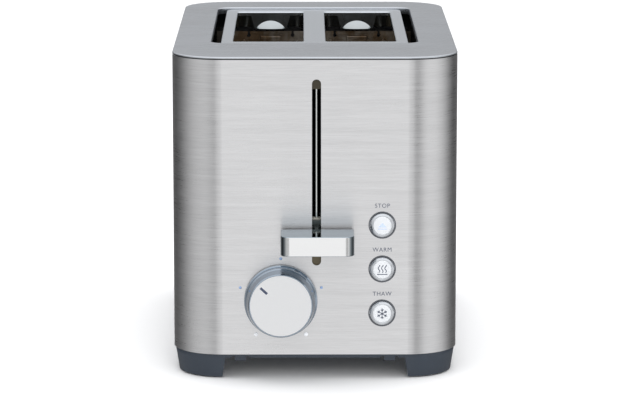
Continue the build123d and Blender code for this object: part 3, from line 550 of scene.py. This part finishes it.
PAINTS = {
    "brushed_wrap": wrap_paint,
    "satin_top": lambda: brushed("satin_top", (0.64, 0.67, 0.715), 0.28, (0.03, 3.6, 3.6), 0.04, 0.002),
    "polished_steel": surround_paint,
    "galvanised": lambda: sheet_metal("galvanised", (0.50, 0.52, 0.55), 0.36, 0.25),
    "zinc_steel": lambda: sheet_metal("zinc_steel", (0.60, 0.60, 0.60), 0.30),
    "wire_steel": lambda: brushed("wire_steel", (0.52, 0.50, 0.47), 0.28, (2.0, 0.1, 0.1), 0.25, 0.004),
    "polished_rod": lambda: brushed("polished_rod", (0.66, 0.68, 0.67), 0.12, (0.4, 0.4, 3.0), 0.06, 0.001),
    "lever_chrome": lever_paint,
    "knob_chrome": lambda: plated("knob_chrome", (0.36, 0.42, 0.49), 0.10),
    "spun_face": spun_paint,
    "button_chrome": lambda: plated("button_chrome", (0.76, 0.79, 0.83), 0.24),
    "button_lens": lens_paint,
    "dark_mark": lambda: moulded("dark_mark", (0.055, 0.07, 0.12), 0.5),
    "base_plastic": lambda: moulded("base_plastic", (0.034, 0.045, 0.062), 0.38),
    "dark_plastic": lambda: moulded("dark_plastic", (0.030, 0.033, 0.038), 0.42),
    "pale_plastic": lambda: moulded("pale_plastic", (0.62, 0.60, 0.54), 0.45),
    "component_plastic": lambda: moulded("component_plastic", (0.05, 0.05, 0.055), 0.35),
    "nylon": lambda: moulded("nylon", (0.70, 0.69, 0.62), 0.38),
    "mica": mica_paint,
    "heater_ribbon": lambda: brushed("heater_ribbon", (0.36, 0.31, 0.27), 0.34, (0.5, 0.5, 3.0), 0.35, 0.004),
    "copper_coil": winding_paint,
    "copper": lambda: plated("copper", (0.72, 0.42, 0.26), 0.25),
    "board_green": board_paint,
    "rubber": lambda: moulded("rubber", (0.028, 0.028, 0.030), 0.7, 0.03),
    "bumper_rubber": bumper_paint,
    "lead_brown": lambda: moulded("lead_brown", (0.16, 0.07, 0.035), 0.4),
    "lead_blue": lambda: moulded("lead_blue", (0.03, 0.09, 0.28), 0.4),
}
# nodes whose looks differ from the others of their slot
NODE_PAINTS = {
    # painted shade: the carriage bracket, seen only inside the body, is tinted nearly black
    "carriage_bracket": lambda: sheet_metal("zinc_painted_shade", (0.13, 0.15, 0.15), 0.28),
    "rear_end_plate": heat_paint,
    "button_bezels": lambda: moulded("bezel_plastic", (0.10, 0.108, 0.125), 0.30),
}


def paint_nodes():
    """Gives every CAD node the material of its slot, or one of its own. Returns the slots' materials."""
    made = {slot: make().material for slot, make in PAINTS.items()}
    for entry in frame["record"]["subparts"]:
        for slot in NODES[entry["node"]].material_slots:
            slot.material = made[entry["material_slot"]]
    for name, make in NODE_PAINTS.items():
        own = make().material
        for slot in NODES[name].material_slots:
            slot.material = own
    return made


# ---------------------------------------------------------------- mesh tools
def add_piece(name, mesh, material, body):
    """Puts a mesh in the scene as a piece that rides on a body."""
    piece = bpy.data.objects.new(name, mesh)
    mesh.materials.clear()
    mesh.materials.append(material)
    bpy.context.scene.collection.objects.link(piece)
    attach(piece, body)
    return piece


def bridge(bm, rings):
    """Four-sided faces between each ring of vertices and the next."""
    for ring, after in zip(rings, rings[1:]):
        for side in range(len(ring)):
            turn = (side + 1) % len(ring)
            bm.faces.new((ring[side], ring[turn], after[turn], after[side]))


def finished(bm, name, smooth):
    """The mesh of a bmesh, with its faces turned outwards. smooth shades its four-sided faces as a curve."""
    bmesh.ops.recalc_face_normals(bm, faces=bm.faces)
    for face in bm.faces:
        face.smooth = smooth and len(face.verts) == 4
    mesh = bpy.data.meshes.new(name)
    bm.to_mesh(mesh)
    bm.free()
    return mesh


def tube_mesh(name, points, radius, sides=10):
    """A closed round tube along a list of points."""
    bm = bmesh.new()
    rings = []
    normal = Vector((1, 0, 0))
    for index, point in enumerate(points):
        before = points[max(index - 1, 0)]
        after = points[min(index + 1, len(points) - 1)]
        along = (after - before).normalized()
        normal = (normal - along * normal.dot(along)).normalized()
        across = along.cross(normal)
        ring = []
        for side in range(sides):
            angle = 2 * math.pi * side / sides
            ring.append(bm.verts.new(point + radius * (math.cos(angle) * normal + math.sin(angle) * across)))
        rings.append(ring)
    bridge(bm, rings)
    bm.faces.new(rings[0][::-1])
    bm.faces.new(rings[-1])
    return finished(bm, name, True)


def print_mesh(name, strokes, fills, y):
    """Printed strokes and filled outlines on a plane that faces the front, from lists of (x, z) points."""
    bm = bmesh.new()

    def prism(outline):
        """A thin solid with an outline as its front."""
        front = [bm.verts.new((x, y, z)) for x, z in outline]
        back = [bm.verts.new((x, y + PRINT_THICK, z)) for x, z in outline]
        bm.faces.new(front)
        bm.faces.new(back[::-1])
        for index in range(len(outline)):
            turn = (index + 1) % len(outline)
            bm.faces.new((front[index], back[index], back[turn], front[turn]))

    for stroke in strokes:
        left, right = [], []
        for index, point in enumerate(stroke):
            before = Vector(stroke[max(index - 1, 0)])
            after = Vector(stroke[min(index + 1, len(stroke) - 1)])
            along = (after - before).normalized()
            across = Vector((-along.y, along.x)) * PRINT_LINE / 2
            left.append(tuple(Vector(point) + across))
            right.append(tuple(Vector(point) - across))
        prism(left + right[::-1])
    for outline in fills:
        prism(outline)
    return finished(bm, name, False)


# ---------------------------------------------------------------- the return spring
def make_spring(material):
    """The return spring's coil, and a hook at each end."""
    centre = (SPRING_LOW + SPRING_HIGH) / 2
    radius = (SPRING_HIGH.x - SPRING_LOW.x) / 2 - SPRING_WIRE
    low, high = SPRING_LOW.z + SPRING_WIRE, SPRING_HIGH.z - SPRING_WIRE
    points = []
    for step in range(COIL_TURNS * COIL_STEPS + 1):
        angle = 2 * math.pi * step / COIL_STEPS
        z = low + (high - low) * step / (COIL_TURNS * COIL_STEPS)
        points.append(Vector((centre.x + radius * math.cos(angle), centre.y + radius * math.sin(angle), z)))
    coil = add_piece("return_spring_coil", tube_mesh("return_spring_coil", points, SPRING_WIRE), material,
                     "toaster_body")
    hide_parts("return_spring")
    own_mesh(coil)

    def hook(name, start_z, end_z, reach, body):
        """A quarter turn from the coil's end to the centre line and reach metres behind it."""
        route = []
        for step in range(HOOK_STEPS + 1):
            share = step / HOOK_STEPS
            x = centre.x + radius * math.cos(math.pi / 2 * share)
            y = centre.y + reach * math.sin(math.pi / 2 * share)
            route.append(Vector((x, y, start_z + (end_z - start_z) * share)))
        add_piece(name, tube_mesh(name, route, SPRING_WIRE), material, body)

    hook("spring_hook_upper", high, high + UPPER_HOOK_RISE, UPPER_HOOK_REACH, "toaster_body")
    hook("spring_hook_lower", low, low - LOWER_HOOK_DROP, LOWER_HOOK_REACH, "carriage")


# ---------------------------------------------------------------- printed marks
def heat_strokes():
    """Three rising waves over a bar."""
    strokes = []
    for shift in WAVE_PLACES:
        wave = []
        for step in range(WAVE_STEPS + 1):
            share = step / WAVE_STEPS
            swing = WAVE_SWING * math.sin(WAVE_BENDS * math.pi * share)
            wave.append((shift + swing, WAVE_LOW + WAVE_RISE * share))
        strokes.append(wave)
    return [*strokes, HEAT_BAR]


def flake_strokes():
    """A snow crystal: arms with two branches each."""
    strokes = []
    for arm in range(FLAKE_ARMS):
        angle = math.radians(90 + 360 // FLAKE_ARMS * arm)
        out = Vector((math.cos(angle), math.sin(angle)))
        strokes.append([(0.0, 0.0), tuple(FLAKE_ARM * out)])
        for hand in (-1, 1):
            tilt = angle + hand * math.radians(FLAKE_BRANCH_DEG)
            branch = FLAKE_FORK * out + FLAKE_BRANCH * Vector((math.cos(tilt), math.sin(tilt)))
            strokes.append([tuple(FLAKE_FORK * out), tuple(branch)])
    return strokes


def make_icons(ink, lit_ink):
    """A printed pictogram on each button's lens. The uppermost is a filled one in pale blue."""
    for kind, strokes, fills, colour in (("cancel", [ARROW_BAR], [ARROW], lit_ink),
                                         ("reheat", heat_strokes(), [], ink),
                                         ("defrost", flake_strokes(), [], ink)):
        low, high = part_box(f"{kind}_button_lens")
        centre = Vector(((low.x + high.x) / 2, (low.z + high.z) / 2))
        placed = [[[tuple(centre + Vector(point) * MM) for point in line] for line in lines]
                  for lines in (strokes, fills)]
        mesh = print_mesh(f"{kind}_icon", *placed, low.y - PRINT_PROUD)
        add_piece(f"{kind}_icon", mesh, colour, f"{kind}_button")


def make_labels(ink):
    """A plain printed word above each button."""
    for kind, word in WORDS.items():
        low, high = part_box(f"{kind}_button_lens")
        text = bpy.data.curves.new(f"{kind}_label", "FONT")
        text.body = word
        text.size = WORD_SIZE
        text.space_character = WORD_SPACING
        text.extrude = WORD_PROUD
        text.align_x = "CENTER"
        holder = bpy.data.objects.new(f"{kind}_label_text", text)
        bpy.context.scene.collection.objects.link(holder)
        holder.location = ((low.x + high.x) / 2, FRONT_Y - WORD_PROUD, (low.z + high.z) / 2 + WORD_ABOVE_LENS)
        holder.rotation_euler = (math.radians(90), 0.0, 0.0)
        bpy.context.view_layer.update()
        mesh = bpy.data.meshes.new_from_object(holder.evaluated_get(bpy.context.evaluated_depsgraph_get()))
        mesh.transform(holder.matrix_world)
        bpy.data.objects.remove(holder)
        add_piece(f"{kind}_label", mesh, ink, "toaster_body")


def make_dots(name, marks, radius, material):
    """Small domed marks round the knob, a fifth of a turn apart. Mark 0 is the uppermost."""
    bm = bmesh.new()
    for mark in marks:
        angle = math.radians(90 + DOT_STEP_DEG * mark)
        x0 = KNOB_CENTRE.x + DOT_RING * math.cos(angle)
        z0 = KNOB_CENTRE.z + DOT_RING * math.sin(angle)
        rings = []
        for share, rise in DOT_PROFILE:
            ring = []
            for side in range(DOT_SIDES):
                turn = 2 * math.pi * side / DOT_SIDES
                x, z = x0 + share * radius * math.cos(turn), z0 + share * radius * math.sin(turn)
                ring.append(bm.verts.new((x, FRONT_Y - rise * MM, z)))
            rings.append(ring)
        bridge(bm, rings)
        bm.faces.new(rings[-1])
        bm.faces.new(rings[0][::-1])
    add_piece(name, finished(bm, name, True), material, "toaster_body")


# ---------------------------------------------------------------- the scene
make_camera()
make_world()
make_floor()
make_lights()
bpy.context.scene.view_settings.view_transform = "Standard"
finishes = paint_nodes()
make_spring(finishes["wire_steel"])
make_icons(finishes["dark_mark"], moulded("lit_mark", (0.60, 0.71, 0.92), 0.4).material)
make_labels(finishes["dark_mark"])
make_dots("browning_dots", (0, 1, 4), SMALL_DOT, moulded("dot_enamel", (0.30, 0.42, 0.66), 0.25).material)
make_dots("end_dots", (2, 3), LARGE_DOT, moulded("white_enamel", (0.90, 0.92, 0.95), 0.3).material)
